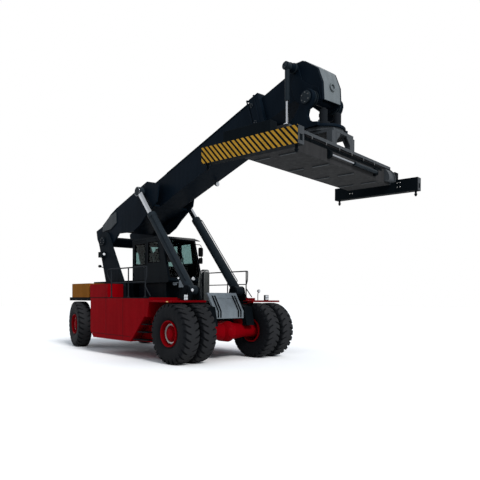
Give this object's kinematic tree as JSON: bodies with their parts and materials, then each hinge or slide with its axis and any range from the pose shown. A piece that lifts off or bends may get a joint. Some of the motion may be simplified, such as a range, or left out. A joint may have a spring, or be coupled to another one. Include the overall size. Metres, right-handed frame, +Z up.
{
  "type": "reach stacker",
  "caption": "Container handler on six large tyres with a telescopic boom, two lift cylinders, a central cab and a rotating, telescoping top spreader.",
  "frame": {"origin": "On the floor under the middle of the parked machine, on its centre plane", "axes": "+X forward towards the spreader, +Y to the driver's left, +Z up"},
  "size_m": [12.7456, 6.3541, 7.5552],
  "materials": {
    "machine_red": "satin crimson paint",
    "frame_black": "satin black paint",
    "boom_slate": "satin blue-black paint",
    "light_grey": "satin grey paint",
    "ballast_ochre": "satin ochre paint",
    "cast_dark": "painted casting",
    "cab_grey": "satin dark grey paint",
    "window_glass": "tinted glass",
    "seat_fabric": "black cloth",
    "lamp_white": "clear lens",
    "rod_chrome": "polished chrome",
    "tyre_black": "black rubber",
    "stripe_plate": "black paint with ochre diagonal stripes on the end plates"
  },
  "bodies": {
    "chassis": {"chassis_frame": "frame_black", "nose_plate": "light_grey", "drive_axle": "machine_red", "steer_axle": "machine_red", "counterweight": "ballast_ochre", "side_tanks": "machine_red", "front_fenders": "machine_red", "deck_plates": "frame_black", "engine_hood": "frame_black", "engine_block": "cast_dark", "rear_lockers": "machine_red", "boarding_steps": "frame_black", "handrails": "frame_black", "headlamps": "lamp_white", "boom_towers": "frame_black", "cylinder_feet": "frame_black", "cab_shell": "cab_grey", "cab_glass": "window_glass", "driver_seat": "seat_fabric"},
    "door_left": {"cab_door_left": "cab_grey", "door_glass_left": "window_glass"},
    "door_right": {"cab_door_right": "cab_grey", "door_glass_right": "window_glass"},
    "drive_wheels_left": {"drive_tyres_left": "tyre_black", "drive_rims_left": "machine_red"},
    "drive_wheels_right": {"drive_tyres_right": "tyre_black", "drive_rims_right": "machine_red"},
    "steer_left": {"knuckle_left": "frame_black"},
    "steer_right": {"knuckle_right": "frame_black"},
    "steer_wheel_left": {"steer_tyre_left": "tyre_black", "steer_rim_left": "machine_red"},
    "steer_wheel_right": {"steer_tyre_right": "tyre_black", "steer_rim_right": "machine_red"},
    "boom": {"boom_root": "boom_slate", "boom_outer": "boom_slate"},
    "boom_extension": {"boom_inner": "boom_slate", "boom_head": "boom_slate"},
    "lift_barrels": {"lift_barrel_left": "boom_slate", "lift_barrel_right": "boom_slate"},
    "lift_rods": {"lift_rod_left": "rod_chrome", "lift_rod_right": "rod_chrome"},
    "damper_tubes": {"damper_barrels": "boom_slate"},
    "damper_pistons": {"damper_rods": "rod_chrome"},
    "yoke": {"yoke": "boom_slate", "rotator_motors": "cast_dark"},
    "slew": {"slew_table": "light_grey"},
    "spreader": {"spreader_beam": "light_grey"},
    "reach_left": {"end_beam_left": "stripe_plate"},
    "reach_right": {"end_beam_right": "stripe_plate"}
  },
  "joints": [
    {"name": "drive_roll_left", "type": "hinge", "parent": "chassis", "child": "drive_wheels_left", "pos_m": [1.23, 1.53, 0.83], "axis": [0, 1, 0], "continuous": true},
    {"name": "drive_roll_right", "type": "hinge", "parent": "chassis", "child": "drive_wheels_right", "pos_m": [1.23, -1.53, 0.83], "axis": [0, 1, 0], "continuous": true},
    {"name": "steering", "type": "hinge", "parent": "chassis", "child": "steer_left", "pos_m": [-5.27, 0.96, 0.83], "axis": [0, 0, 1], "range_deg": [-33, 57]},
    {"name": "steering_right", "type": "hinge", "parent": "chassis", "child": "steer_right", "pos_m": [-5.27, -0.96, 0.83], "axis": [0, 0, 1], "range_deg": [-33, 57]},
    {"name": "steer_roll_left", "type": "hinge", "parent": "steer_left", "child": "steer_wheel_left", "pos_m": [-5.18268, 1.37082, 0.83], "axis": [0.2079, 0.9781, 0], "continuous": true},
    {"name": "steer_roll_right", "type": "hinge", "parent": "steer_right", "child": "steer_wheel_right", "pos_m": [-5.35732, -1.37082, 0.83], "axis": [0.2079, 0.9781, 0], "continuous": true},
    {"name": "door_swing_left", "type": "hinge", "parent": "chassis", "child": "door_left", "pos_m": [-2.77, 0.692, 2.8], "axis": [0, 0, 1], "range_deg": [0, 100]},
    {"name": "door_swing_right", "type": "hinge", "parent": "chassis", "child": "door_right", "pos_m": [-2.77, -0.692, 2.8], "axis": [0, 0, -1], "range_deg": [0, 100]},
    {"name": "boom_lift", "type": "hinge", "parent": "chassis", "child": "boom", "pos_m": [-4.52, 0, 3.85], "axis": [0, -1, 0], "range_deg": [-17.5, 42.5]},
    {"name": "lift_barrel_swing", "type": "hinge", "parent": "chassis", "child": "lift_barrels", "pos_m": [0.75, 0, 2.02], "axis": [0, -1, 0], "range_deg": [-6, 6]},
    {"name": "lift_rod_stroke", "type": "slide", "parent": "lift_barrels", "child": "lift_rods", "axis": [-0.6493, 0, 0.7605], "range_m": [-0.846, 2.04]},
    {"name": "boom_extend", "type": "slide", "parent": "boom", "child": "boom_extension", "axis": [-0.9537, 0, -0.3007], "range_m": [-5.6, 0.85]},
    {"name": "yoke_tilt", "type": "hinge", "parent": "boom_extension", "child": "yoke", "pos_m": [4.73, 0, 6.52], "axis": [0, 1, 0], "range_deg": [-17.5, 42.5]},
    {"name": "damper_swing", "type": "hinge", "parent": "boom_extension", "child": "damper_tubes", "pos_m": [4.19, 0, 7.41], "axis": [0, 1, 0], "range_deg": [-20, 20]},
    {"name": "damper_stroke", "type": "slide", "parent": "damper_tubes", "child": "damper_pistons", "axis": [0.0068, 0, -1], "range_m": [-0.453, 0.192]},
    {"name": "rotator", "type": "hinge", "parent": "yoke", "child": "slew", "pos_m": [4.73, 0, 5.76], "axis": [0, 0, 1], "range_deg": [-103.5, 176.5]},
    {"name": "side_shift", "type": "slide", "parent": "slew", "child": "spreader", "axis": [-0.1478, 0.989, 0], "range_m": [-0.86, 0.74]},
    {"name": "spreader_reach", "type": "slide", "parent": "spreader", "child": "reach_left", "axis": [-0.1478, 0.989, 0], "range_m": [0, 3.05]},
    {"name": "spreader_reach_right", "type": "slide", "parent": "spreader", "child": "reach_right", "axis": [0.1478, -0.989, 0], "range_m": [0, 3.05]}
  ],
  "couplings": [
    {"joint": "steering_right", "follows": "steering", "ratio": 1},
    {"joint": "lift_barrel_swing", "follows": "boom_lift", "ratio": 0.018},
    {"joint": "lift_rod_stroke", "follows": "boom_lift", "m_per_rad": 2.7368},
    {"joint": "damper_swing", "follows": "yoke_tilt", "ratio": 0.361},
    {"joint": "damper_stroke", "follows": "yoke_tilt", "m_per_rad": -0.59711},
    {"joint": "spreader_reach_right", "follows": "spreader_reach", "ratio": 1}
  ]
}
